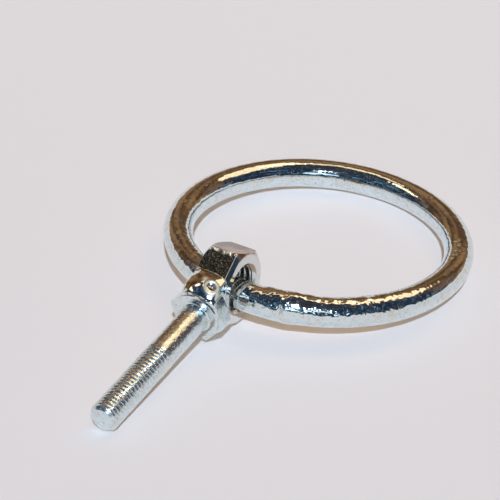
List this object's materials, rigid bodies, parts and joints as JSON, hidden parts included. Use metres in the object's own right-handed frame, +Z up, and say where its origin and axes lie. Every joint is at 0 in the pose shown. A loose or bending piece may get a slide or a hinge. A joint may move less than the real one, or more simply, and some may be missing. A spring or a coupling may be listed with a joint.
{
  "type": "tie-down ring bolt",
  "caption": "Round bar ring running loose through a hex nut that is welded to the head of a threaded stud bolt, bright plated steel, for tying loads down.",
  "frame": {"origin": "on the table, under the middle of the whole lying object seen from above", "axes": "+Z up from the table, +Y from the bolt's tip towards the far side of the ring, +X along the bore of the nut"},
  "size_m": [0.105, 0.1732, 0.0275],
  "materials": {
    "ring_plating": "bright zinc plating with weld spatter pits",
    "nut_plating": "bright zinc plating",
    "bolt_plating": "bright zinc plating",
    "weld_plating": "plated weld metal, smooth"
  },
  "bodies": {
    "eye": {"hex_nut": "nut_plating", "head_weld": "weld_plating", "stud_bolt": "bolt_plating"},
    "ring": {"ring": "ring_plating"}
  },
  "joints": [
    {"name": "ring_swing", "type": "hinge", "parent": "eye", "child": "ring", "pos_m": [-0.00863, -0.01237, 0.01376], "axis": [1, 0, 0], "continuous": true}
  ]
}
